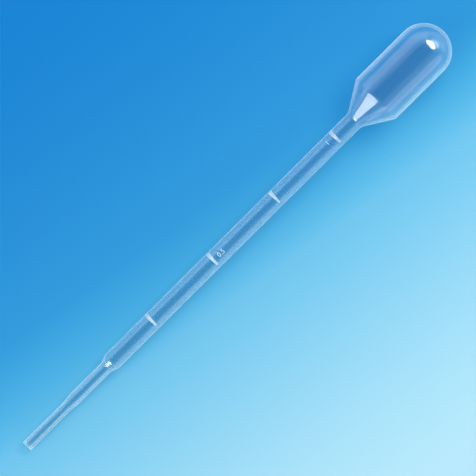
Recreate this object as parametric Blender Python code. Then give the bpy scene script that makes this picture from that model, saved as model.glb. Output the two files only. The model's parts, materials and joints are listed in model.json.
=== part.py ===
"""Graduated transfer pipette: one thin moulding of clear polyethylene, with a fine stepped tip, a
long stem with four raised volume lines, and a soft bulb at its end.

The pipette is drawn upright on the Z axis, its open tip at z = 0 and its bulb on top, as it would
stand on a lathe. An empty then lays it down along +X, leaning up towards the bulb by the small
angle at which it rests on a table: on the rim of its tip and on the shoulder of its bulb.

The thumb wall and the finger wall are the two sides of the bulb that a squeeze pushes in. They
slide square to the pipette's axis, so their edges are cut flat and parallel to that motion.
"""

import math

import bmesh
import bpy
from mathutils import Vector

MM = 0.001

# Places along the axis, from the open end of the tip.
STEP_BOTTOM, STEP_TOP = 14.6 * MM, 15.9 * MM
SHOULDER_BOTTOM, SHOULDER_TOP = 27.4 * MM, 29.9 * MM
NECK = 114.0 * MM
BULB_BOTTOM, BULB_TOP = 121.4 * MM, 138.1 * MM
LINE_PLACES = {
    "graduation_line_0_25_ml": 43.9 * MM,
    "graduation_line_0_50_ml": 65.2 * MM,
    "graduation_line_0_75_ml": 86.8 * MM,
    "graduation_line_1_00_ml": 107.8 * MM,
}

# Outer radii, and the wall inside each of them.
TIP_END_RADIUS, TIP_RADIUS = 1.365 * MM, 1.290 * MM
UPPER_TIP_RADIUS = 1.590 * MM
STEM_LOW_RADIUS, STEM_HIGH_RADIUS = 2.365 * MM, 2.315 * MM
BULB_RADIUS = 6.900 * MM
TIP_BORE = 0.800 * MM
UPPER_TIP_BORE = 1.130 * MM
STEM_WALL = 0.410 * MM
BULB_WALL = 0.450 * MM
BULB_BORE = BULB_RADIUS - BULB_WALL
NECK_FILLET, BULB_FILLET = 2.0 * MM, 1.2 * MM

# The raised volume lines, which start at the mould's parting line and taper away from it.
LINE_HEIGHT = 0.200 * MM
LINE_WIDTHS = (1.2 * MM, 0.5 * MM)
LINE_CREST_SHARE = 0.5

# The two pressed walls of the bulb, and the fixed walls beside them.
PRESSED_HALF_WIDTH = 4.900 * MM
FIXED_FROM = 5.200 * MM

# Each curved piece ends in a short straight land. Pieces that meet keep a small gap.
LAND = 0.300 * MM
GAP = 0.300 * MM
LINE_GAP = 0.050 * MM

# Turned pieces have flats, not corners, on the X and Y sides, so the pipette lies on flats.
SEGMENTS = 36
HALF_SEGMENT = math.pi / SEGMENTS
LINE_STEPS = SEGMENTS // 3
CURVE_STEPS = 5
DOME_STEPS = 9
MERGE = 1e-6

CLEAR = (0.80, 0.87, 0.92, 1.0)
CLEAR_BULB = (0.84, 0.90, 0.94, 1.0)
MILKY = (0.93, 0.95, 0.97, 1.0)
FINISHES = {"stem": (CLEAR, 0.28), "bulb": (CLEAR_BULB, 0.22), "line": (MILKY, 0.40)}


def clear_scene():
    for thing in list(bpy.data.objects):
        bpy.data.objects.remove(thing)


def material(name, finish):
    colour, roughness = FINISHES[finish]
    made = bpy.data.materials.new(name)
    made.use_nodes = True
    shader = made.node_tree.nodes["Principled BSDF"]
    shader.inputs["Base Color"].default_value = colour
    shader.inputs["Roughness"].default_value = roughness
    shader.inputs["Metallic"].default_value = 0.0
    return made


def stem_radius(z):
    """The stem narrows very slightly towards the bulb."""
    share = (z - SHOULDER_TOP) / (NECK - SHOULDER_TOP)
    return STEM_LOW_RADIUS + share * (STEM_HIGH_RADIUS - STEM_LOW_RADIUS)


def tip_radius(z):
    return TIP_END_RADIUS + z / STEP_BOTTOM * (TIP_RADIUS - TIP_END_RADIUS)


def eased(low, high):
    """A smooth step from one (radius, z) to another, level with the axis at both ends."""
    points = []
    for i in range(CURVE_STEPS + 1):
        share = i / CURVE_STEPS
        rise = 0.5 - 0.5 * math.cos(math.pi * share)
        points.append((low[0] + rise * (high[0] - low[0]), low[1] + share * (high[1] - low[1])))
    return points


def rounded(before, corner, after, radius):
    """The arc that rounds a corner of an outline, from its first tangent point to its last."""
    back = (Vector(before) - Vector(corner)).normalized()
    onward = (Vector(after) - Vector(corner)).normalized()
    half_angle = back.angle(onward) / 2
    to_centre = (back + onward).normalized() / math.sin(half_angle)
    centre = Vector(corner) + to_centre * radius
    first = back / math.tan(half_angle) - to_centre
    last = onward / math.tan(half_angle) - to_centre
    spokes = [first.slerp(last, i / CURVE_STEPS) for i in range(CURVE_STEPS + 1)]
    return [tuple(centre + spoke * radius) for spoke in spokes]


def shoulder_outline(inset, neck_radius, bulb_radius, fillets):
    """The cone between stem and bulb with its two rounded corners, for a wall this far inside."""
    slope = math.atan2(BULB_RADIUS - STEM_HIGH_RADIUS, BULB_BOTTOM - NECK)
    lift = inset * math.tan(slope / 2)
    neck = (neck_radius, NECK + lift)
    bulb = (bulb_radius, BULB_BOTTOM + lift)
    below = (neck_radius, SHOULDER_TOP)
    above = (bulb_radius, BULB_TOP)
    return rounded(below, neck, bulb, fillets[0]) + rounded(neck, bulb, above, fillets[1])


def outer_shoulder():
    return shoulder_outline(0.0, STEM_HIGH_RADIUS, BULB_RADIUS, (NECK_FILLET, BULB_FILLET))


def inner_shoulder():
    fillets = (NECK_FILLET + STEM_WALL, BULB_FILLET - BULB_WALL)
    return shoulder_outline(STEM_WALL, STEM_HIGH_RADIUS - STEM_WALL, BULB_BORE, fillets)


def dome_outline(radius):
    """A quarter circle from the bulb's wall up to the pole."""
    points = []
    for i in range(DOME_STEPS + 1):
        angle = math.pi / 2 * i / DOME_STEPS
        points.append((radius * math.cos(angle), BULB_TOP + radius * math.sin(angle)))
    points[-1] = (0.0, BULB_TOP + radius)
    return points


def place(obj, z, finish, empty):
    obj.location = (0.0, 0.0, z)
    obj.parent = empty
    obj.data.materials.append(material(obj.name, finish))
    bpy.context.scene.collection.objects.link(obj)


def turned(name, outer, inner, z, finish, empty):
    """A wall of revolution from two outlines of (radius, z), each listed from the tip upwards. Its
    flats lie at the stated radii, so its corners stand a little further out."""
    mesh = bpy.data.meshes.new(name)
    form = bmesh.new()
    outline = []
    for radius, height in outer[::-1] + inner:
        outline.append(form.verts.new((radius, radius * math.tan(HALF_SEGMENT), height - z)))
    for first, second in zip(outline, outline[1:]):
        form.edges.new((first, second))
    open_topped = outer[-1][0] > 0
    if open_topped:
        form.edges.new((outline[-1], outline[0]))
    form.to_mesh(mesh)
    form.free()
    obj = bpy.data.objects.new(name, mesh)
    place(obj, z, finish, empty)
    screw = obj.modifiers.new("turn", "SCREW")
    screw.axis = "Z"
    screw.steps = screw.render_steps = SEGMENTS
    screw.use_merge_vertices = True
    screw.merge_threshold = MERGE
    screw.use_smooth_shade = True
    return obj


def cutter(name, low, high, z, empty):
    """A plain box between two corners, which only cuts."""
    mesh = bpy.data.meshes.new(name)
    form = bmesh.new()
    bmesh.ops.create_cube(form, size=1.0)
    for vert in form.verts:
        vert.co = [lo + (at + 0.5) * (hi - lo) for at, lo, hi in zip(vert.co, low, high)]
    form.to_mesh(mesh)
    form.free()
    box = bpy.data.objects.new(name, mesh)
    box.location = (0.0, 0.0, z)
    box.parent = empty
    box.hide_render = True
    box.display_type = "WIRE"
    bpy.context.scene.collection.objects.link(box)
    return box


def bulb_wall(name, low, high, empty):
    """One side of the bulb's cylindrical belt: the whole belt, kept only inside a box."""
    bottom, top = outer_shoulder()[-1][1] + LAND + GAP, BULB_TOP - GAP
    middle = (bottom + top) / 2
    outer = [(BULB_RADIUS, bottom), (BULB_RADIUS, top)]
    inner = [(BULB_BORE, bottom), (BULB_BORE, top)]
    wall = turned(name, outer, inner, middle, "bulb", empty)
    side = wall.modifiers.new("side", "BOOLEAN")
    side.operation = "INTERSECT"
    side.solver = "EXACT"
    side.object = cutter(name + "_cutter", low, high, middle, empty)


def graduation_line(name, z, empty):
    """A raised line across the stem's upper side. It starts on the parting line, at +Y, runs over
    the top and past it by about a third of a right angle, and narrows all the way."""
    foot = (stem_radius(z) + LINE_GAP) / math.cos(HALF_SEGMENT)
    crest = foot + LINE_HEIGHT
    form = bmesh.new()
    rows = []
    for i in range(LINE_STEPS + 1):
        share = i / LINE_STEPS
        half = (LINE_WIDTHS[0] + share * (LINE_WIDTHS[1] - LINE_WIDTHS[0])) / 2
        top = half * LINE_CREST_SHARE
        angle = math.pi / 2 + HALF_SEGMENT * (2 * i + 1)
        across, up = math.cos(angle), math.sin(angle)
        section = [(foot, -half), (crest, -top), (crest, top), (foot, half)]
        rows.append([form.verts.new((r * across, r * up, along)) for r, along in section])
    for row, following in zip(rows, rows[1:]):
        for k in range(len(row)):
            after = (k + 1) % len(row)
            form.faces.new((row[k], row[after], following[after], following[k]))
    form.faces.new(rows[0])
    form.faces.new(rows[-1])
    bmesh.ops.recalc_face_normals(form, faces=form.faces)
    mesh = bpy.data.meshes.new(name)
    form.to_mesh(mesh)
    form.free()
    mesh.shade_smooth()
    mesh.set_sharp_from_angle(angle=math.radians(30))
    place(bpy.data.objects.new(name, mesh), z, "line", empty)


def resting_empty():
    """Lays the pipette down: the lean, and the place that centres its box on the origin."""
    outline = [(TIP_END_RADIUS, 0.0)]
    outline += outer_shoulder() + dome_outline(BULB_RADIUS)
    lean = max(math.atan2(radius - TIP_END_RADIUS, z) for radius, z in outline[1:])
    first = -TIP_END_RADIUS * math.sin(lean)
    last = max(z * math.cos(lean) + radius * math.sin(lean) for radius, z in outline)
    empty = bpy.data.objects.new("resting_axis", None)
    empty.rotation_euler = (0.0, math.pi / 2 - lean, 0.0)
    empty.location = (-(first + last) / 2, 0.0, TIP_END_RADIUS * math.cos(lean))
    bpy.context.scene.collection.objects.link(empty)
    return empty


def make_tip(empty):
    end = STEP_BOTTOM - LAND - GAP
    outer = [(TIP_END_RADIUS, 0.0), (tip_radius(end), end)]
    inner = [(TIP_BORE, 0.0), (TIP_BORE, end)]
    turned("dispensing_tip", outer, inner, 0.0, "stem", empty)

    low, high = STEP_BOTTOM - LAND, STEP_TOP + LAND
    outer = [(tip_radius(low), low)]
    outer += eased((TIP_RADIUS, STEP_BOTTOM), (UPPER_TIP_RADIUS, STEP_TOP))
    outer += [(UPPER_TIP_RADIUS, high)]
    inner = [(TIP_BORE, low)]
    inner += eased((TIP_BORE, STEP_BOTTOM), (UPPER_TIP_BORE, STEP_TOP))
    inner += [(UPPER_TIP_BORE, high)]
    turned("tip_step", outer, inner, low, "stem", empty)

    low, high = STEP_TOP + LAND + GAP, SHOULDER_BOTTOM - LAND - GAP
    outer = [(UPPER_TIP_RADIUS, low), (UPPER_TIP_RADIUS, high)]
    inner = [(UPPER_TIP_BORE, low), (UPPER_TIP_BORE, high)]
    turned("upper_tip", outer, inner, low, "stem", empty)


def make_stem(empty):
    low, high = SHOULDER_BOTTOM - LAND, SHOULDER_TOP + LAND
    outer = [(UPPER_TIP_RADIUS, low)]
    outer += eased((UPPER_TIP_RADIUS, SHOULDER_BOTTOM), (STEM_LOW_RADIUS, SHOULDER_TOP))
    outer += [(stem_radius(high), high)]
    inner = [(UPPER_TIP_BORE, low)]
    inner += eased((UPPER_TIP_BORE, SHOULDER_BOTTOM), (STEM_LOW_RADIUS - STEM_WALL, SHOULDER_TOP))
    inner += [(stem_radius(high) - STEM_WALL, high)]
    turned("stem_shoulder", outer, inner, low, "stem", empty)

    low, high = SHOULDER_TOP + LAND + GAP, outer_shoulder()[0][1] - LAND - GAP
    outer = [(stem_radius(z), z) for z in (low, high)]
    inner = [(stem_radius(z) - STEM_WALL, z) for z in (low, high)]
    turned("stem_tube", outer, inner, low, "stem", empty)

    for name, z in LINE_PLACES.items():
        graduation_line(name, z, empty)


def make_bulb(empty):
    outer, inner = outer_shoulder(), inner_shoulder()
    low, high = outer[0][1] - LAND, outer[-1][1] + LAND
    outer = [(STEM_HIGH_RADIUS, low), *outer, (BULB_RADIUS, high)]
    inner = [(STEM_HIGH_RADIUS - STEM_WALL, low), *inner, (BULB_BORE, high)]
    turned("bulb_shoulder", outer, inner, low, "bulb", empty)

    outer, inner = dome_outline(BULB_RADIUS), dome_outline(BULB_BORE)
    turned("bulb_dome", outer, inner, BULB_TOP, "bulb", empty)

    far, length = 2 * BULB_RADIUS, BULB_TOP - BULB_BOTTOM
    half = PRESSED_HALF_WIDTH
    bulb_wall("thumb_wall", (-far, -half, -length), (0.0, half, length), empty)
    bulb_wall("finger_wall", (0.0, -half, -length), (far, half, length), empty)
    bulb_wall("bulb_side_wall_left", (-far, FIXED_FROM, -length), (far, far, length), empty)
    bulb_wall("bulb_side_wall_right", (-far, -far, -length), (far, -FIXED_FROM, length), empty)


def main():
    clear_scene()
    empty = resting_empty()
    make_tip(empty)
    make_stem(empty)
    make_bulb(empty)


main()
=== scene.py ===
"""Graduated transfer pipette of clear, slightly milky polyethylene, lying on a matt blue board.

The pipette is one blown moulding. It is made here as the two halves of its mould, an upper and a
lower shell that run from the tip's rim to the end of the bulb and meet at the parting line on both
sides.

Work in the pipette's own frame is in (along, left, up): the distance from the tip's rim along the
axis, to the left of someone looking from the tip to the bulb, and up. LIE lays that frame down.
"""

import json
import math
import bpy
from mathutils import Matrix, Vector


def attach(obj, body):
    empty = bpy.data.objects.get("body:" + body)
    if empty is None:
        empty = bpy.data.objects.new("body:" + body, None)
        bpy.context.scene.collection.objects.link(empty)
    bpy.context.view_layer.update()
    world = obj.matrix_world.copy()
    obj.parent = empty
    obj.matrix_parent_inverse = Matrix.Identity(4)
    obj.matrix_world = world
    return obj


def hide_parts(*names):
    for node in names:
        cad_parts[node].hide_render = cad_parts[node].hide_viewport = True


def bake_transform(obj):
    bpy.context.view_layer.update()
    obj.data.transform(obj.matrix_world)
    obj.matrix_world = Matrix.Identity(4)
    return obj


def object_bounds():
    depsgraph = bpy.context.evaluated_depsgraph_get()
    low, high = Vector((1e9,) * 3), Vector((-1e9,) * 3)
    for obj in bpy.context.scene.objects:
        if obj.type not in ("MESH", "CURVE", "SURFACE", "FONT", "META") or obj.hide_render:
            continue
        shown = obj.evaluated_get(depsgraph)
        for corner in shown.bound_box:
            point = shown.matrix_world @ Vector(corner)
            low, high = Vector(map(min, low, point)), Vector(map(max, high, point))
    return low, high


bl_info = {
    "name": "Transfer Pipette",
    "version": (1, 0, 0),
    "blender": (4, 5, 0),
    "location": "View3D > Sidebar > Pipette",
    "description": "Builds a graduated squeeze-bulb transfer pipette on a studio table",
    "category": "Add Mesh",
}

import bmesh
import bpy
from bpy.props import FloatProperty, FloatVectorProperty, IntProperty, PointerProperty
from mathutils import Matrix, Vector

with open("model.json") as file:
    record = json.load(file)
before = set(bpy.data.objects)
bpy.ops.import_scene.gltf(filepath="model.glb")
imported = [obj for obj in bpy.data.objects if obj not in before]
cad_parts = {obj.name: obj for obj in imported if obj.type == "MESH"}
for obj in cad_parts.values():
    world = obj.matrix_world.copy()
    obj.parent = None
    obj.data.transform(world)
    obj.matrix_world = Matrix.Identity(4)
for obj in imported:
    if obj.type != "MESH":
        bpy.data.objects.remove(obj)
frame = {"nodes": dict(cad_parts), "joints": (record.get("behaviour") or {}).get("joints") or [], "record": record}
CAD_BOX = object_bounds()

MM = 0.001
LAND = 0.3 * MM
MERGE = 0.0005 * MM
SAME_PLACE = 0.01 * MM
LINE_CLEARANCE = 0.004 * MM
TABLE_CLEARANCE = 0.02 * MM
TABLE_HALF_WIDTH = 3.0
LONGEST_NUMERAL_EDGE = 0.3 * MM

# Faces along each curved stretch of the wall's outline.
RIM_STEPS, TIP_STEPS, SHOULDER_STEPS, FILLET_STEPS, DOME_STEPS = 4, 10, 14, 10, 26
RIM_FLAT = 0.12

# Vertices along and round a raised line, and how quickly its ends rise from the stem.
LINE_ROWS, LINE_LOOP = 49, 25
LINE_END_RISE = 14.0
LINE_FOOT = -0.02

SHELL_SHARP_ANGLE = math.radians(32)
LINE_SHARP_ANGLE = math.radians(50)

# The middle of a noise texture's range, which is where nearly all of its values lie.
NOISE_LOW, NOISE_HIGH = 0.3, 0.7

CUT_LENGTH, CUT_HAZE, CUT_ROUGHNESS = 1.1 * MM, 0.06, 0.25
EDGE_START, EDGE_POWER = 0.45, 1.7
SIDE_START, SIDE_END = 0.12, 0.6
SHEEN_ROUGHNESS = 0.35

# The board's colours fade over this distance to each side, slanted along the pipette. The fade is painted light:
# the board is darker on the pipette's left and paler on its right, as if lit from the right.
PAINTED_LIGHT_FADE, PAINTED_LIGHT_SLANT = 0.075, -1.1
PAINTED_LIGHT_STOPS = (0.0, 0.42, 0.58, 1.0)

TENT_COLOUR = (0.55, 0.82, 1.0)
TENT_LEVELS = ((0.0, 1.0), (0.25, 0.40), (0.79, 0.26), (0.87, 0.1), (1.0, 0.08))
TENT_RIGHT, TENT_LEFT, TENT_EDGE = 0.7, 1.2, 0.8

STEM_NODES = ("dispensing_tip", "tip_step", "upper_tip", "stem_shoulder", "stem_tube")
BULB_NODES = ("bulb_shoulder", "bulb_side_wall_left", "bulb_side_wall_right", "bulb_dome")
LINE_NODES = (
    "graduation_line_0_25_ml",
    "graduation_line_0_50_ml",
    "graduation_line_0_75_ml",
    "graduation_line_1_00_ml",
)


def resting_matrix():
    """From the pipette's own frame to the row frame, from its tip mount and its thumb joint."""
    rim = next(m for m in frame["record"]["mounts"] if m["name"] == "tip_rim")
    press = next(j for j in frame["joints"] if j["name"] == "thumb_press")
    along = -Vector(rim["axis"]).normalized()
    up = -Vector(press["axis"]).normalized()
    left = up.cross(along)
    lie = Matrix((along, left, up)).transposed().to_4x4()
    lie.translation = Vector((rim["pos_m"][0], 0.0, rim["pos_m"][2]))
    return lie


LIE = resting_matrix()
STAND = LIE.inverted()


def reach(node):
    """(start, end, radius at the start, radius at the end) of a CAD node along the axis."""
    points = [STAND @ vert.co for vert in frame["nodes"][node].data.vertices]
    start, end = min(p.x for p in points), max(p.x for p in points)
    radii = [max(abs(p.y) for p in points if abs(p.x - x) < SAME_PLACE) for x in (start, end)]
    return start, end, radii[0], radii[1]


TIP, STEP, SHOULDER = reach("dispensing_tip"), reach("tip_step"), reach("stem_shoulder")
STEM, NECK, DOME = reach("stem_tube"), reach("bulb_shoulder"), reach("bulb_dome")
LINE_PLACES = {node: sum(reach(node)[:2]) / 2 for node in LINE_NODES}


# ------------------------------------------------------------------------------- settings


class PipetteShape(bpy.types.PropertyGroup):
    """Sizes of the moulding that the CAD frame doesn't state by itself."""

    tip_bore: FloatProperty(
        name="Tip Bore",
        description="Radius of the fine tip's bore",
        default=0.8 * MM,
        unit="LENGTH",
    )
    upper_bore: FloatProperty(
        name="Upper Tip Bore",
        description="Radius of the bore above the tip's step",
        default=1.13 * MM,
        unit="LENGTH",
    )
    stem_wall: FloatProperty(
        name="Stem Wall",
        description="Thickness of the stem's wall",
        default=0.41 * MM,
        unit="LENGTH",
    )
    bulb_wall: FloatProperty(
        name="Bulb Wall",
        description="Thickness of the bulb's wall",
        default=0.45 * MM,
        unit="LENGTH",
    )
    cone_start: FloatProperty(
        name="Cone Start",
        description="Where the stem's side and the cone's side would meet",
        default=114.0 * MM,
        unit="LENGTH",
    )
    cone_end: FloatProperty(
        name="Cone End",
        description="Where the cone's side and the bulb's side would meet",
        default=121.4 * MM,
        unit="LENGTH",
    )
    neck_fillet: FloatProperty(
        name="Neck Fillet",
        description="Radius where stem meets cone",
        default=2.0 * MM,
        unit="LENGTH",
    )
    bulb_fillet: FloatProperty(
        name="Bulb Fillet",
        description="Radius where cone meets bulb",
        default=1.2 * MM,
        unit="LENGTH",
    )
    rim_round: FloatProperty(
        name="Rim Rounding", description="Rounding of the cut tip", default=0.07 * MM, unit="LENGTH"
    )
    parting_gap: FloatProperty(
        name="Parting Gap",
        description="Gap between the two shells at the mould's parting line",
        default=0.02 * MM,
        unit="LENGTH",
    )
    segments: IntProperty(
        name="Segments", description="Faces round half of the moulding", default=64, min=12, max=128
    )
    station_gap: FloatProperty(
        name="Station Gap",
        description="Longest face along the straight stretches",
        default=1.2 * MM,
        unit="LENGTH",
    )


class PipetteLines(bpy.types.PropertyGroup):
    """Sizes of the raised volume lines and numerals."""

    height: FloatProperty(
        name="Height", description="How far a line stands up", default=0.16 * MM, unit="LENGTH"
    )
    wide_end: FloatProperty(
        name="Wide End",
        description="Width of a line at the parting line",
        default=1.2 * MM,
        unit="LENGTH",
    )
    narrow_end: FloatProperty(
        name="Narrow End",
        description="Width of a line where it fades out",
        default=0.45 * MM,
        unit="LENGTH",
    )
    start: FloatProperty(
        name="Start",
        description="Angle from the top of the stem to the line's wide end",
        default=math.radians(84),
        subtype="ANGLE",
    )
    end: FloatProperty(
        name="End",
        description="Angle from the top of the stem to the line's narrow end",
        default=math.radians(-39),
        subtype="ANGLE",
    )
    numeral_size: FloatProperty(
        name="Numeral Size", description="Height of a numeral", default=1.7 * MM, unit="LENGTH"
    )
    numeral_height: FloatProperty(
        name="Numeral Relief",
        description="How far a numeral stands up",
        default=0.07 * MM,
        unit="LENGTH",
    )


class PipetteLook(bpy.types.PropertyGroup):
    """Colours and finish of the polyethylene."""

    tint: FloatVectorProperty(
        name="Tint",
        description="Colour of the clear wall",
        default=(0.93, 0.96, 0.985),
        subtype="COLOR",
        min=0,
        max=1,
    )
    haze: FloatProperty(
        name="Haze", description="Milkiness of one face of the wall", default=0.005, min=0, max=1
    )
    edge_haze: FloatProperty(
        name="Edge Haze",
        description="Milkiness of a wall seen along its face",
        default=0.9,
        min=0,
        max=1,
    )
    tip_haze: FloatProperty(
        name="Tip Haze",
        description="Added milkiness of the sides of the thick-walled tip",
        default=0.16,
        min=0,
        max=1,
    )
    roughness: FloatProperty(
        name="Roughness", description="Roughness of the wall", default=0.08, min=0, max=1
    )
    refraction: FloatProperty(
        name="Index", description="Refractive index of polyethylene", default=1.51, min=1, max=2
    )
    sheen: FloatProperty(
        name="Sheen", description="Bloom of the wall where it turns away", default=0.6, min=0, max=1
    )
    shade: FloatVectorProperty(
        name="Shade",
        description="Light that one face of the wall lets through to what lies under it",
        default=(0.70, 0.86, 0.91),
        subtype="COLOR",
        min=0,
        max=1,
    )
    line_tint: FloatVectorProperty(
        name="Line Tint",
        description="Colour of the frosted lines",
        default=(0.93, 0.93, 0.97),
        subtype="COLOR",
        min=0,
        max=1,
    )


class PipetteStage(bpy.types.PropertyGroup):
    """The table, the lights and the camera."""

    # These four table colours make a painted light fade across the board: darker on the pipette's left, paler on
    # its right, as if lit from the right.
    table_painted_shade_far: FloatVectorProperty(
        name="Table Deep End",
        description="Table colour on the far left of the pipette",
        default=(0.001, 0.150, 0.440),
        subtype="COLOR",
        min=0,
        max=1,
    )
    table_painted_shade_near: FloatVectorProperty(
        name="Table Left",
        description="Table colour close to the pipette's left",
        default=(0.016, 0.215, 0.475),
        subtype="COLOR",
        min=0,
        max=1,
    )
    table_painted_light_near: FloatVectorProperty(
        name="Table Right",
        description="Table colour close to the pipette's right",
        default=(0.065, 0.38, 0.58),
        subtype="COLOR",
        min=0,
        max=1,
    )
    table_painted_light_far: FloatVectorProperty(
        name="Table Pale End",
        description="Table colour on the right of the pipette",
        default=(0.42, 0.63, 0.69),
        subtype="COLOR",
        min=0,
        max=1,
    )
    key_power: FloatProperty(
        name="Key Power", description="Softbox beyond the bulb", default=2.7, unit="POWER"
    )
    tip_power: FloatProperty(
        name="Tip Side Power", description="Low softbox beyond the tip", default=1.8, unit="POWER"
    )
    lamp_power: FloatProperty(
        name="Tip Side Lamp Power", description="Softbox above the tip", default=1.5, unit="POWER"
    )
    left_power: FloatProperty(
        name="Left Power", description="Softbox on the pipette's left", default=0.42, unit="POWER"
    )
    right_power: FloatProperty(
        name="Right Power",
        description="Low softbox on the pipette's right",
        default=1.5,
        unit="POWER",
    )
    tent: FloatProperty(
        name="Tent",
        description="Strength of the light tent round the table",
        default=1.2,
        min=0,
        max=5,
    )
    distance: FloatProperty(
        name="Camera Distance", description="Above the pipette", default=1.3, unit="LENGTH"
    )
    turn: FloatProperty(
        name="Camera Turn",
        description="Turn of the camera about the vertical",
        default=math.radians(-44.86),
        subtype="ANGLE",
    )
    aim: FloatVectorProperty(
        name="Camera Aim",
        description="Where the camera looks, to its right and upwards from the pipette's middle",
        default=(0.79 * MM, 0.32 * MM),
        size=2,
        unit="LENGTH",
    )
    lens: FloatProperty(name="Lens", description="Focal length in millimetres", default=400.0)


def settings(name):
    return getattr(bpy.context.scene, "pipette_" + name)


# ------------------------------------------------------------------------- node tree maker


class Tree:
    """Adds nodes to a tree in rows, and links them by socket."""

    def __init__(self, tree):
        self.tree = tree
        self.count = 0

    def add(self, kind, inputs=None, **values):
        node = self.tree.nodes.new(kind)
        node.location = (220 * (self.count % 12), -260 * (self.count // 12))
        self.count += 1
        for name, value in values.items():
            setattr(node, name, value)
        for key, value in (inputs or {}).items():
            self.feed(node.inputs[key], value)
        return node

    def feed(self, socket, value):
        if isinstance(value, bpy.types.NodeSocket):
            self.tree.links.new(value, socket)
        else:
            socket.default_value = value

    def math(self, operation, *values):
        node = self.add("ShaderNodeMath", operation=operation)
        for socket, value in zip(node.inputs, values):
            self.feed(socket, value)
        return node.outputs[0]

    def choose(self, switch, when_false, when_true):
        node = self.add("GeometryNodeSwitch", input_type="FLOAT")
        for socket, value in zip(node.inputs, (switch, when_false, when_true)):
            self.feed(socket, value)
        return node.outputs[0]

    def compare(self, operation, first, second):
        node = self.add("FunctionNodeCompare", data_type="FLOAT", operation=operation)
        self.feed(node.inputs[0], first)
        self.feed(node.inputs[1], second)
        return node.outputs[0]


def geometry_tree(name, sockets):
    """A Geometry Nodes group with named inputs, and its Group Input and Group Output nodes."""
    group = bpy.data.node_groups.new(name, "GeometryNodeTree")
    group.interface.new_socket("Geometry", in_out="INPUT", socket_type="NodeSocketGeometry")
    group.interface.new_socket("Geometry", in_out="OUTPUT", socket_type="NodeSocketGeometry")
    for label, kind in sockets:
        group.interface.new_socket(label, in_out="INPUT", socket_type="NodeSocket" + kind)
    tree = Tree(group)
    return tree, tree.add("NodeGroupInput"), tree.add("NodeGroupOutput")


def finish_tree(tree, mesh, source, sink, sharp_angle):
    """Smooth shading with sharp edges past an angle, then the material and real geometry."""
    smooth = tree.add("GeometryNodeSetShadeSmooth", {"Geometry": mesh, "Shade Smooth": True})
    angle = tree.add("GeometryNodeInputMeshEdgeAngle")
    sharp = tree.compare("GREATER_THAN", angle.outputs["Unsigned Angle"], sharp_angle)
    edges = tree.add(
        "GeometryNodeSetShadeSmooth",
        {"Geometry": smooth.outputs[0], "Selection": sharp, "Shade Smooth": False},
        domain="EDGE",
    )
    real = tree.add("GeometryNodeRealizeInstances", {"Geometry": edges.outputs[0]})
    coated = tree.add(
        "GeometryNodeSetMaterial",
        {"Geometry": real.outputs[0], "Material": source.outputs["Material"]},
    )
    tree.feed(sink.inputs["Geometry"], coated.outputs[0])


def grown(name, base, group, values, material):
    """Runs a Geometry Nodes group on a base mesh and returns the plain mesh piece it makes."""
    guide = bpy.data.objects.new(name + "_guide", base)
    bpy.context.scene.collection.objects.link(guide)
    modifier = guide.modifiers.new("grow", "NODES")
    modifier.node_group = group
    for item in group.interface.items_tree:
        if item.item_type == "SOCKET" and item.in_out == "INPUT" and item.name in values:
            modifier[item.identifier] = values[item.name]
        if item.item_type == "SOCKET" and item.name == "Material":
            modifier[item.identifier] = material
    bpy.context.view_layer.update()
    depsgraph = bpy.context.evaluated_depsgraph_get()
    mesh = bpy.data.meshes.new_from_object(guide.evaluated_get(depsgraph))
    mesh.name = name
    guide.modifiers.clear()
    bpy.data.objects.remove(guide)
    bpy.data.meshes.remove(base)
    mesh.transform(LIE)
    return finished(name, mesh)


def finished(name, mesh):
    """A piece at the origin from a mesh that is already in place, if it is one closed body."""
    form = bmesh.new()
    form.from_mesh(mesh)
    volume = form.calc_volume(signed=True)
    is_closed = all(len(edge.link_faces) == 2 for edge in form.edges)
    form.free()
    if volume <= 0.0 or not is_closed:
        raise RuntimeError(f"{name} isn't a closed body with its faces outwards")
    mesh.name = name
    piece = bpy.data.objects.new(name, mesh)
    bpy.context.scene.collection.objects.link(piece)
    return piece


# ------------------------------------------------------------------------------- outlines


def straight(first, last, gap):
    """Points from one (place, radius) to another, no further apart than gap."""
    count = max(1, math.ceil(abs(last[0] - first[0]) / gap))
    return [tuple(a + (b - a) * i / count for a, b in zip(first, last)) for i in range(count + 1)]


def eased(first, last, count):
    """A smooth step from one (place, radius) to another, level with the axis at both ends."""
    points = []
    for i in range(count + 1):
        share = i / count
        rise = 0.5 - 0.5 * math.cos(math.pi * share)
        points.append(
            (first[0] + share * (last[0] - first[0]), first[1] + rise * (last[1] - first[1]))
        )
    return points


def rounded(before, corner, after, radius, count):
    """The arc that rounds a corner of an outline, from its first tangent point to its last."""
    back = (Vector(before) - Vector(corner)).normalized()
    onward = (Vector(after) - Vector(corner)).normalized()
    half_angle = back.angle(onward) / 2
    to_centre = (back + onward).normalized() / math.sin(half_angle)
    centre = Vector(corner) + to_centre * radius
    first = back / math.tan(half_angle) - to_centre
    last = onward / math.tan(half_angle) - to_centre
    spokes = [first.slerp(last, i / count) for i in range(count + 1)]
    return [tuple(centre + spoke * radius) for spoke in spokes]


def cone_outline(shape, inset, fillets, count):
    """The cone between stem and bulb with its two rounded corners, this far inside the wall."""
    low, high = NECK[2], NECK[3]
    slope = math.atan2(high - low, shape.cone_end - shape.cone_start)
    lift = inset[0] * math.tan(slope / 2)
    neck = (shape.cone_start + lift, low - inset[0])
    bulb = (shape.cone_end + lift, high - inset[1])
    below, above = (STEM[1], neck[1]), (DOME[0], bulb[1])
    first = rounded(below, neck, bulb, fillets[0], count)
    last = rounded(neck, bulb, above, fillets[1], count)
    return first + straight(first[-1], last[0], shape.station_gap / 2)[1:-1] + last


def dome_outline(radius, count):
    """A quarter circle from the bulb's side to its pole."""
    angles = [math.pi / 2 * i / count for i in range(count + 1)]
    points = [(DOME[0] + radius * math.sin(a), radius * math.cos(a)) for a in angles]
    points[-1] = (DOME[0] + radius, 0.0)
    return points


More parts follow.
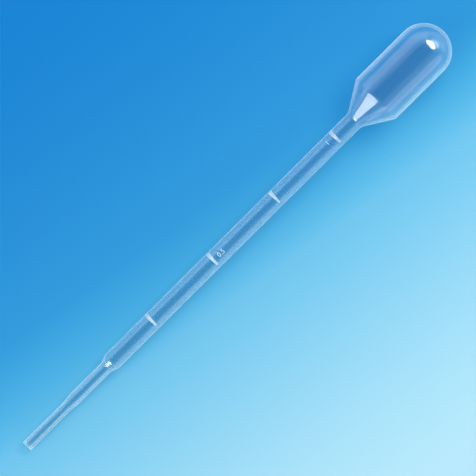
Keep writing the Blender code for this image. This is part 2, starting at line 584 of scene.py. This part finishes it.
def rim_outline(edge, middle, rounding, count):
    """The cut end of the tip, from the middle of its wall round to its outer or inner side."""
    towards = 1 if edge > middle else -1
    points = [(0.0, middle)]
    for i in range(count + 1):
        angle = math.pi / 2 * i / count
        place = RIM_FLAT * rounding + rounding * (1 - math.cos(angle))
        points.append((place, edge - towards * rounding * (1 - math.sin(angle))))
    return points


def wall_outlines(shape):
    """The outer and the inner side of the wall, as two equally long lists of (place, radius)."""
    gap = shape.station_gap
    bore, upper, stem_bore = shape.tip_bore, shape.upper_bore, STEM[2] - shape.stem_wall
    middle = (TIP[2] + bore) / 2
    outer = rim_outline(TIP[2], middle, shape.rim_round, RIM_STEPS)
    inner = rim_outline(bore, middle, shape.rim_round, RIM_STEPS)
    step = (STEP[0] - 2 * LAND, STEP[1] + 2 * LAND)
    shoulder = (SHOULDER[0] + LAND, SHOULDER[1] - LAND)
    outer += straight(outer[-1], (step[0], STEP[2]), gap)[1:-1]
    inner += straight(inner[-1], (step[0], bore), gap)[1:-1]
    outer += eased((step[0], STEP[2]), (step[1], STEP[3]), TIP_STEPS)
    inner += eased((step[0], bore), (step[1], upper), TIP_STEPS)
    outer += straight(outer[-1], (shoulder[0], SHOULDER[2]), gap)[1:-1]
    inner += straight(inner[-1], (shoulder[0], upper), gap)[1:-1]
    outer += eased((shoulder[0], SHOULDER[2]), (shoulder[1], SHOULDER[3]), SHOULDER_STEPS)
    inner += eased((shoulder[0], upper), (shoulder[1], stem_bore), SHOULDER_STEPS)
    fillets = (shape.neck_fillet, shape.bulb_fillet)
    outer_cone = cone_outline(shape, (0.0, 0.0), fillets, FILLET_STEPS)
    fillets = (shape.neck_fillet + shape.stem_wall, shape.bulb_fillet - shape.bulb_wall)
    walls = (shape.stem_wall, shape.bulb_wall)
    inner_cone = cone_outline(shape, walls, fillets, FILLET_STEPS)
    outer += straight(outer[-1], outer_cone[0], gap)[1:-1]
    inner += straight(inner[-1], inner_cone[0], gap)[1:-1]
    outer += outer_cone
    inner += inner_cone
    outer_dome = dome_outline(DOME[2], DOME_STEPS)
    inner_dome = dome_outline(DOME[2] - shape.bulb_wall, DOME_STEPS)
    outer += straight(outer[-1], outer_dome[0], gap)[1:-1]
    inner += straight(inner[-1], inner_dome[0], gap)[1:-1]
    outer += outer_dome
    inner += inner_dome
    if len(outer) != len(inner):
        raise RuntimeError(f"the wall's sides have {len(outer)} and {len(inner)} stations")
    return outer, inner


def station_mesh(shape):
    """One loose vertex for each station along the wall, which carries both sides' sizes."""
    outer, inner = wall_outlines(shape)
    mesh = bpy.data.meshes.new("stations")
    mesh.from_pydata([(point[0], 0.0, 0.0) for point in outer], [], [])
    columns = {
        "outer_place": [p[0] for p in outer],
        "outer_radius": [p[1] for p in outer],
        "inner_place": [p[0] for p in inner],
        "inner_radius": [p[1] for p in inner],
    }
    for name, values in columns.items():
        mesh.attributes.new(name, "FLOAT", "POINT").data.foreach_set("value", values)
    return mesh


# ---------------------------------------------------------------------- geometry node trees


def half_shell_tree():
    """A wall of revolution over half a turn, from one vertex per station.

    Its section runs over the outer side, back over the inner side, and closes at the parting
    line on both sides."""
    tree, source, sink = geometry_tree(
        "Half Shell",
        [
            ("Side", "Float"),
            ("Segments", "Int"),
            ("Parting Gap", "Float"),
            ("Material", "Material"),
        ],
    )
    stations = tree.add(
        "GeometryNodeAttributeDomainSize", {"Geometry": source.outputs["Geometry"]}
    ).outputs["Point Count"]
    turns = source.outputs["Segments"]
    loop = tree.math("MULTIPLY_ADD", turns, 2.0, 3.0)
    grid = tree.add("GeometryNodeMeshGrid", {"Vertices X": stations, "Vertices Y": loop})
    index = tree.add("GeometryNodeInputIndex").outputs[0]
    station = tree.math("FLOOR", tree.math("DIVIDE", tree.math("ADD", index, 0.5), loop))
    column = tree.math("SUBTRACT", index, tree.math("MULTIPLY", station, loop))
    last_outer = tree.math("ADD", turns, 0.5)
    last_inner = tree.math("MULTIPLY_ADD", turns, 2.0, 1.5)
    past_outer = tree.compare("GREATER_THAN", column, last_outer)
    closing = tree.compare("GREATER_THAN", column, last_inner)
    back = tree.math("SUBTRACT", tree.math("MULTIPLY_ADD", turns, 2.0, 1.0), column)
    step = tree.choose(closing, tree.choose(past_outer, column, back), 0.0)
    angle = tree.math("MULTIPLY", tree.math("DIVIDE", step, turns), math.pi)

    def sampled(name):
        values = tree.add("GeometryNodeInputNamedAttribute", {"Name": name}, data_type="FLOAT")
        sample = tree.add(
            "GeometryNodeSampleIndex",
            {"Geometry": source.outputs["Geometry"], "Value": values.outputs[0], "Index": station},
        )
        return sample.outputs[0]

    def side_value(name):
        inner = tree.choose(past_outer, sampled("outer_" + name), sampled("inner_" + name))
        return tree.choose(closing, inner, sampled("outer_" + name))

    place, radius = side_value("place"), side_value("radius")
    across = tree.math("MULTIPLY", radius, tree.math("COSINE", angle))
    height = tree.math("MULTIPLY", radius, tree.math("SINE", angle))
    half_gap = tree.math("MULTIPLY", source.outputs["Parting Gap"], 0.5)
    height = tree.math("MAXIMUM", height, half_gap)
    height = tree.math("MULTIPLY", height, source.outputs["Side"])
    position = tree.add("ShaderNodeCombineXYZ", {"X": place, "Y": across, "Z": height})
    shaped = tree.add(
        "GeometryNodeSetPosition",
        {"Geometry": grid.outputs["Mesh"], "Position": position.outputs[0]},
    )
    closed = tree.add(
        "GeometryNodeMergeByDistance", {"Geometry": shaped.outputs[0], "Distance": MERGE}
    )
    upper = tree.compare("GREATER_THAN", source.outputs["Side"], 0.0)
    turned = tree.add("GeometryNodeFlipFaces", {"Mesh": closed.outputs[0], "Selection": upper})
    finish_tree(tree, turned.outputs[0], source, sink, SHELL_SHARP_ANGLE)
    return tree.tree


def volume_line_tree():
    """A raised line that follows the stem's round and narrows from one end to the other.

    Its section is a low dome on a flat foot, and it runs out to nothing at both ends."""
    tree, source, sink = geometry_tree(
        "Volume Line",
        [
            ("Place", "Float"),
            ("Stem Radius", "Float"),
            ("Height", "Float"),
            ("Wide End", "Float"),
            ("Narrow End", "Float"),
            ("Start", "Float"),
            ("End", "Float"),
            ("Material", "Material"),
        ],
    )
    grid = tree.add("GeometryNodeMeshGrid", {"Vertices X": LINE_ROWS, "Vertices Y": LINE_LOOP})
    index = tree.add("GeometryNodeInputIndex").outputs[0]
    row = tree.math("FLOOR", tree.math("DIVIDE", tree.math("ADD", index, 0.5), float(LINE_LOOP)))
    column = tree.math("SUBTRACT", index, tree.math("MULTIPLY", row, float(LINE_LOOP)))
    share = tree.math("DIVIDE", row, float(LINE_ROWS - 1))
    round_section = tree.math("MULTIPLY", column, 2 * math.pi / (LINE_LOOP - 1))
    width = tree.math(
        "MULTIPLY_ADD",
        tree.math("SUBTRACT", source.outputs["Narrow End"], source.outputs["Wide End"]),
        share,
        source.outputs["Wide End"],
    )
    ends = tree.math("MULTIPLY", tree.math("SUBTRACT", 1.0, share), share)
    ends = tree.math("SQRT", tree.math("MULTIPLY", ends, LINE_END_RISE))
    ends = tree.math("MINIMUM", ends, 1.0)
    half_width = tree.math("MULTIPLY", width, 0.5)
    along = tree.math("MULTIPLY", tree.math("COSINE", round_section), half_width)
    along = tree.math("MULTIPLY", along, ends)
    dome = tree.math("MAXIMUM", tree.math("SINE", round_section), LINE_FOOT)
    lift = tree.math("MULTIPLY", tree.math("MULTIPLY", dome, ends), source.outputs["Height"])
    foot = tree.math("ADD", source.outputs["Stem Radius"], LINE_CLEARANCE)
    radius = tree.math("ADD", foot, lift)
    angle = tree.math(
        "MULTIPLY_ADD",
        tree.math("SUBTRACT", source.outputs["End"], source.outputs["Start"]),
        share,
        source.outputs["Start"],
    )
    position = tree.add(
        "ShaderNodeCombineXYZ",
        {
            "X": tree.math("ADD", source.outputs["Place"], along),
            "Y": tree.math("MULTIPLY", radius, tree.math("SINE", angle)),
            "Z": tree.math("MULTIPLY", radius, tree.math("COSINE", angle)),
        },
    )
    shaped = tree.add(
        "GeometryNodeSetPosition",
        {"Geometry": grid.outputs["Mesh"], "Position": position.outputs[0]},
    )
    closed = tree.add(
        "GeometryNodeMergeByDistance", {"Geometry": shaped.outputs[0], "Distance": MERGE}
    )
    turned = tree.add("GeometryNodeFlipFaces", {"Mesh": closed.outputs[0]})
    finish_tree(tree, turned.outputs[0], source, sink, LINE_SHARP_ANGLE)
    return tree.tree


# ------------------------------------------------------------------------------ materials


def lengthwise(tree):
    """Coordinates in the pipette's own frame, in metres."""
    where = tree.add("ShaderNodeTexCoord").outputs["Object"]
    angles = STAND.to_euler()
    mapping = tree.add(
        "ShaderNodeMapping",
        {"Vector": where, "Location": STAND.translation, "Rotation": angles},
    )
    return mapping.outputs[0]


def noise(tree, vector, stretch, scale, detail):
    """Noise, in features per metre, that is stretched by three separate amounts."""
    spread = tree.add("ShaderNodeVectorMath", operation="MULTIPLY")
    tree.feed(spread.inputs[0], vector)
    spread.inputs[1].default_value = stretch
    texture = tree.add(
        "ShaderNodeTexNoise", {"Vector": spread.outputs[0], "Scale": scale, "Detail": detail}
    )
    return texture.outputs["Fac"]


def mapped(tree, value, low, high, start, end):
    """A value from low to high, as another goes from start to end."""
    node = tree.add(
        "ShaderNodeMapRange",
        {"Value": value, "From Min": start, "From Max": end, "To Min": low, "To Max": high},
    )
    return node.outputs[0]


def blank_material(name):
    made = bpy.data.materials.new(name)
    made.use_nodes = True
    made.node_tree.nodes.clear()
    return made, Tree(made.node_tree)


def colour_ramp(tree, factor, stops, interpolation):
    """Colours at (position, colour) stops, with others between them."""
    ramp = tree.add("ShaderNodeValToRGB", {"Fac": factor})
    ramp.color_ramp.interpolation = interpolation
    elements, stops = ramp.color_ramp.elements, tuple(stops)
    while len(elements) < len(stops):
        elements.new(0.5)
    for element, (position, colour) in zip(elements, stops):
        element.position = position
        element.color = (*colour, 1.0)
    return ramp.outputs["Color"]


def letting_light_through(tree, shader, shade):
    """The material's output. Light bound for what lies under the wall goes straight through."""
    through = tree.add("ShaderNodeBsdfTransparent", {"Color": (*shade, 1.0)})
    path = tree.add("ShaderNodeLightPath")
    for ray in ("Is Diffuse Ray", "Is Shadow Ray"):
        mix = tree.add(
            "ShaderNodeMixShader", {0: path.outputs[ray], 1: shader, 2: through.outputs[0]}
        )
        shader = mix.outputs[0]
    tree.add("ShaderNodeOutputMaterial", {"Surface": shader})


def clear_polyethylene(look):
    """Clear wall with a faint haze, fine flow lines along the stem and a frosted cut rim."""
    made, tree = blank_material("clear_polyethylene")
    place = lengthwise(tree)
    along = tree.add("ShaderNodeSeparateXYZ", {"Vector": place}).outputs["X"]
    flow = noise(tree, place, (60.0, 900.0, 900.0), 1.0, 3.0)
    cloud = noise(tree, place, (1.0, 1.0, 1.0), 260.0, 2.0)
    cut = mapped(tree, along, 1.0, 0.0, 0.0, CUT_LENGTH)
    haze = mapped(tree, cloud, 0.6 * look.haze, 1.4 * look.haze, NOISE_LOW, NOISE_HIGH)
    haze = tree.math("ADD", haze, tree.math("MULTIPLY", cut, CUT_HAZE))
    facing = tree.add("ShaderNodeLayerWeight", {"Blend": 0.5}).outputs["Facing"]
    rim = tree.math("POWER", mapped(tree, facing, 0.0, 1.0, EDGE_START, 1.0), EDGE_POWER)
    haze = tree.math("MULTIPLY_ADD", rim, look.edge_haze, haze)
    tip = mapped(tree, along, 1.0, 0.0, SHOULDER[0], SHOULDER[1])
    side = mapped(tree, facing, 0.0, 1.0, SIDE_START, SIDE_END)
    haze = tree.math("MULTIPLY_ADD", tree.math("MULTIPLY", tip, side), look.tip_haze, haze)
    smooth, dull = 0.5 * look.roughness, 1.5 * look.roughness
    rough = mapped(tree, flow, smooth, dull, NOISE_LOW, NOISE_HIGH)
    rough = tree.math("ADD", rough, tree.math("MULTIPLY", cut, CUT_ROUGHNESS))
    bump = tree.add("ShaderNodeBump", {"Strength": 0.05, "Distance": 0.01 * MM, "Height": flow})
    shader = tree.add(
        "ShaderNodeBsdfPrincipled",
        {
            "Base Color": (*look.tint, 1.0),
            "Roughness": rough,
            "IOR": look.refraction,
            "Transmission Weight": tree.math("SUBTRACT", 1.0, haze),
            "Sheen Weight": look.sheen,
            "Sheen Roughness": SHEEN_ROUGHNESS,
            "Normal": bump.outputs[0],
        },
    )
    letting_light_through(tree, shader.outputs[0], look.shade)
    return made


def frosted_polyethylene(look):
    """The raised lines and numerals, whitened where the engraved mould roughened them."""
    made, tree = blank_material("frosted_polyethylene")
    place = lengthwise(tree)
    grain = noise(tree, place, (1.0, 1.0, 1.0), 5200.0, 3.0)
    cloud = noise(tree, place, (1.0, 1.0, 1.0), 900.0, 2.0)
    bump = tree.add("ShaderNodeBump", {"Strength": 0.5, "Distance": 0.02 * MM, "Height": grain})
    shader = tree.add(
        "ShaderNodeBsdfPrincipled",
        {
            "Base Color": (*look.line_tint, 1.0),
            "Roughness": mapped(tree, grain, 0.3, 0.55, NOISE_LOW, NOISE_HIGH),
            "IOR": look.refraction,
            "Transmission Weight": mapped(tree, cloud, 0.70, 0.90, NOISE_LOW, NOISE_HIGH),
            "Normal": bump.outputs[0],
        },
    )
    letting_light_through(tree, shader.outputs[0], look.shade)
    return made


def board_with_painted_light(stage):
    """Matt blue board with painted light: its blue fades from darker on the pipette's left to paler on its right,
    as if lit from that side.
    """
    made, tree = blank_material("blue_board_with_painted_light")
    where = tree.add("ShaderNodeTexCoord").outputs["Object"]
    axes = tree.add("ShaderNodeSeparateXYZ", {"Vector": where})
    # Painted light: paler towards the pipette's right, as if lit from there, and darker towards its left.
    share = mapped(tree, axes.outputs["Y"], 1.0, 0.0, -PAINTED_LIGHT_FADE, PAINTED_LIGHT_FADE)
    share = tree.math("MULTIPLY_ADD", axes.outputs["X"], PAINTED_LIGHT_SLANT, share)
    colours = (stage.table_painted_shade_far, stage.table_painted_shade_near, stage.table_painted_light_near, stage.table_painted_light_far)
    painted_light_fade = colour_ramp(tree, share, zip(PAINTED_LIGHT_STOPS, colours), "B_SPLINE")
    shader = tree.add(
        "ShaderNodeBsdfPrincipled",
        {"Base Color": painted_light_fade, "Roughness": 0.75, "Specular IOR Level": 0.1},
    )
    tree.add("ShaderNodeOutputMaterial", {"Surface": shader.outputs[0]})
    return made


# ------------------------------------------------------------------------------ operators


class PIPETTE_OT_moulding(bpy.types.Operator):
    """Make the hollow moulding as its two mould halves"""

    bl_idname = "pipette.moulding"
    bl_label = "Moulding"

    def execute(self, context):
        shape = settings("shape")
        tree = half_shell_tree()
        material = clear_polyethylene(settings("look"))
        halves = (
            ("upper_shell", 1.0, "thumb_side", STEM_NODES + ("thumb_wall",)),
            ("lower_shell", -1.0, "finger_side", BULB_NODES + ("finger_wall",)),
        )
        for name, side, body, nodes in halves:
            values = {
                "Side": side,
                "Segments": shape.segments,
                "Parting Gap": shape.parting_gap,
            }
            shell = grown(name, station_mesh(shape), tree, values, material)
            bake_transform(shell)
            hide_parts(*nodes)
        return {"FINISHED"}


class PIPETTE_OT_volume_lines(bpy.types.Operator):
    """Make the four raised volume lines on the stem"""

    bl_idname = "pipette.volume_lines"
    bl_label = "Volume Lines"

    def execute(self, context):
        lines = settings("lines")
        tree = volume_line_tree()
        material = frosted_polyethylene(settings("look"))
        for node, place in LINE_PLACES.items():
            values = {
                "Place": place,
                "Stem Radius": stem_radius(place),
                "Height": lines.height,
                "Wide End": lines.wide_end,
                "Narrow End": lines.narrow_end,
                "Start": lines.start,
                "End": lines.end,
            }
            base = bpy.data.meshes.new("seed")
            name = node.replace("graduation_line", "volume_line")
            piece = grown(name, base, tree, values, material)
            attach(piece, "moulding")
            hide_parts(node)
        return {"FINISHED"}


def stem_radius(place):
    """The stem narrows very slightly towards the bulb."""
    share = (place - STEM[0]) / (STEM[1] - STEM[0])
    return STEM[2] + share * (STEM[3] - STEM[2])


def numeral_mesh(text, size, relief, place, angle):
    """Raised lettering bent round the stem. It reads along the axis, its foot towards the right."""
    curve = bpy.data.curves.new("numeral_" + text, "FONT")
    curve.body = text
    curve.size = size
    curve.extrude = relief / 2
    curve.bevel_depth = relief * 0.25
    curve.bevel_resolution = 1
    curve.align_x = curve.align_y = "CENTER"
    holder = bpy.data.objects.new("numeral_holder", curve)
    bpy.context.scene.collection.objects.link(holder)
    bpy.context.view_layer.update()
    depsgraph = bpy.context.evaluated_depsgraph_get()
    mesh = bpy.data.meshes.new_from_object(holder.evaluated_get(depsgraph))
    bpy.data.objects.remove(holder)
    bpy.data.curves.remove(curve)
    form = bmesh.new()
    form.from_mesh(mesh)
    bmesh.ops.remove_doubles(form, verts=form.verts, dist=MERGE)
    bmesh.ops.triangulate(form, faces=form.faces)
    long_edges = [edge for edge in form.edges if edge.calc_length() > LONGEST_NUMERAL_EDGE]
    bmesh.ops.subdivide_edges(form, edges=long_edges, cuts=2)
    bmesh.ops.triangulate(form, faces=form.faces)
    lowest = min(vert.co.z for vert in form.verts)
    radius = stem_radius(place) + LINE_CLEARANCE
    for vert in form.verts:
        turn = angle + vert.co.y / radius
        out = radius + vert.co.z - lowest
        vert.co = (place + vert.co.x, out * math.sin(turn), out * math.cos(turn))
    form.to_mesh(mesh)
    form.free()
    mesh.transform(LIE)
    return mesh


class PIPETTE_OT_numerals(bpy.types.Operator):
    """Make the raised numerals beside two of the volume lines"""

    bl_idname = "pipette.numerals"
    bl_label = "Numerals"

    def execute(self, context):
        lines = settings("lines")
        material = bpy.data.materials["frosted_polyethylene"]
        wanted = (
            ("numeral_half", "0.5", LINE_PLACES[LINE_NODES[1]] + 2.6 * MM, 0.0),
            ("numeral_one", "1", LINE_PLACES[LINE_NODES[3]] - 2.4 * MM, math.radians(18)),
        )
        for name, text, place, angle in wanted:
            mesh = numeral_mesh(text, lines.numeral_size, lines.numeral_height, place, angle)
            mesh.materials.append(material)
            piece = finished(name, mesh)
            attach(piece, "moulding")
        return {"FINISHED"}


def light_tent(stage):
    """Pale blue light from all sides, bright at table level and dim above the table."""
    world = bpy.data.worlds.new("light_tent")
    world.use_nodes = True
    world.node_tree.nodes.clear()
    tree = Tree(world.node_tree)
    where = tree.add("ShaderNodeTexCoord").outputs["Generated"]
    axes = tree.add("ShaderNodeSeparateXYZ", {"Vector": where})
    stops = ((place, [level * part for part in TENT_COLOUR]) for place, level in TENT_LEVELS)
    colour = colour_ramp(tree, axes.outputs["Z"], stops, "LINEAR")
    right, left = TENT_RIGHT * stage.tent, TENT_LEFT * stage.tent
    strength = mapped(tree, axes.outputs["Y"], right, left, -TENT_EDGE, TENT_EDGE)
    light = tree.add("ShaderNodeBackground", {"Color": colour, "Strength": strength})
    tree.add("ShaderNodeOutputWorld", {"Surface": light.outputs[0]})
    return world


def soft_light(name, direction, distance, size, power, colour, target):
    """An area light that faces a target from a direction, and stays out of the picture itself."""
    lamp = bpy.data.lights.new(name, "AREA")
    lamp.shape = "ELLIPSE"
    lamp.size, lamp.size_y = size
    lamp.energy = power
    lamp.color = colour
    holder = bpy.data.objects.new(name, lamp)
    towards = Vector(direction).normalized()
    holder.location = Vector(target) + towards * distance
    holder.rotation_euler = towards.to_track_quat("Z", "Y").to_euler()
    holder.visible_camera = False
    bpy.context.scene.collection.objects.link(holder)
    return holder


def slanted(from_vertical, aside):
    """The direction this far from straight up towards the tip, turned aside to its left."""
    low = math.sin(from_vertical)
    return (-low * math.cos(aside), low * math.sin(aside), math.cos(from_vertical))


def softboxes(stage):
    """Name, direction, distance, size, power, colour and target of each softbox."""
    bulb = LIE @ Vector((DOME[0], 0.0, 0.0))
    pipette = (0.0, 0.0, 0.0)
    tilt, low = math.radians(38), math.radians(70)
    high, aside = math.radians(52), math.radians(10)
    beyond_bulb = (math.sin(tilt), 0.0, math.cos(tilt))
    white, warm, tinged = (1.0, 1.0, 1.0), (1.0, 0.93, 0.90), (1.0, 0.97, 0.97)
    cool, cooler = (0.90, 0.95, 1.0), (0.85, 0.94, 1.0)
    left, right = (0.5, 1.0, 1.0), (-0.2, -1.0, 0.35)
    beyond_tip, above_tip = slanted(low, aside), slanted(high, aside)
    key, tip, lamp = stage.key_power, stage.tip_power, stage.lamp_power
    return (
        ("bulb_side_softbox", beyond_bulb, 0.5, (0.42, 0.20), key, white, bulb),
        ("tip_side_softbox", beyond_tip, 0.7, (0.54, 0.24), tip, warm, bulb),
        ("tip_side_lamp", above_tip, 0.6, (0.42, 0.22), lamp, tinged, bulb),
        ("left_softbox", left, 0.6, (0.8, 0.5), stage.left_power, cooler, pipette),
        ("right_softbox", right, 0.6, (1.2, 0.45), stage.right_power, cool, pipette),
    )


class PIPETTE_OT_stage(bpy.types.Operator):
    """Make the table, the lights, the room and the camera"""

    bl_idname = "pipette.stage"
    bl_label = "Stage"

    def execute(self, context):
        stage, scene = settings("stage"), context.scene
        form = bmesh.new()
        bmesh.ops.create_grid(form, x_segments=1, y_segments=1, size=TABLE_HALF_WIDTH)
        mesh = bpy.data.meshes.new("table")
        form.to_mesh(mesh)
        form.free()
        mesh.materials.append(board_with_painted_light(stage))
        table = bpy.data.objects.new("table", mesh)
        table.location = (0.0, 0.0, CAD_BOX[0].z - TABLE_CLEARANCE)
        scene.collection.objects.link(table)

        scene.world = light_tent(stage)

        for lamp in softboxes(stage):
            soft_light(*lamp)

        lens = bpy.data.cameras.new("camera")
        lens.lens = stage.lens
        lens.sensor_width = 36.0
        lens.clip_start, lens.clip_end = 0.01, 20.0
        camera = bpy.data.objects.new("camera", lens)
        middle = (CAD_BOX[0] + CAD_BOX[1]) / 2
        turn = Matrix.Rotation(stage.turn, 3, "Z")
        camera.location = middle + turn @ Vector((*stage.aim, stage.distance))
        camera.rotation_euler = (0.0, 0.0, stage.turn)
        scene.collection.objects.link(camera)
        scene.camera = camera
        scene.view_settings.view_transform = "Standard"
        return {"FINISHED"}


class PIPETTE_PT_panel(bpy.types.Panel):
    """Lists the pipette's pieces and their sizes"""

    bl_label = "Transfer Pipette"
    bl_idname = "PIPETTE_PT_panel"
    bl_space_type = "VIEW_3D"
    bl_region_type = "UI"
    bl_category = "Pipette"

    def draw(self, context):
        for group, operators in PANEL_ROWS:
            box = self.layout.box()
            values = settings(group)
            for name in values.bl_rna.properties.keys():
                if name not in {"rna_type", "name"}:
                    box.prop(values, name)
            for operator in operators:
                box.operator(operator)


PANEL_ROWS = (
    ("shape", ("pipette.moulding",)),
    ("lines", ("pipette.volume_lines", "pipette.numerals")),
    ("look", ()),
    ("stage", ("pipette.stage",)),
)
GROUPS = {
    "shape": PipetteShape,
    "lines": PipetteLines,
    "look": PipetteLook,
    "stage": PipetteStage,
}
CLASSES = (
    *GROUPS.values(),
    PIPETTE_OT_moulding,
    PIPETTE_OT_volume_lines,
    PIPETTE_OT_numerals,
    PIPETTE_OT_stage,
    PIPETTE_PT_panel,
)


def register():
    for made in CLASSES:
        bpy.utils.register_class(made)
    for name, group in GROUPS.items():
        setattr(bpy.types.Scene, "pipette_" + name, PointerProperty(type=group))


def unregister():
    for name in GROUPS:
        delattr(bpy.types.Scene, "pipette_" + name)
    for made in reversed(CLASSES):
        bpy.utils.unregister_class(made)


def main():
    register()
    bpy.ops.pipette.moulding()
    bpy.ops.pipette.volume_lines()
    bpy.ops.pipette.numerals()
    bpy.ops.pipette.stage()


if __name__ == "__main__":
    main()
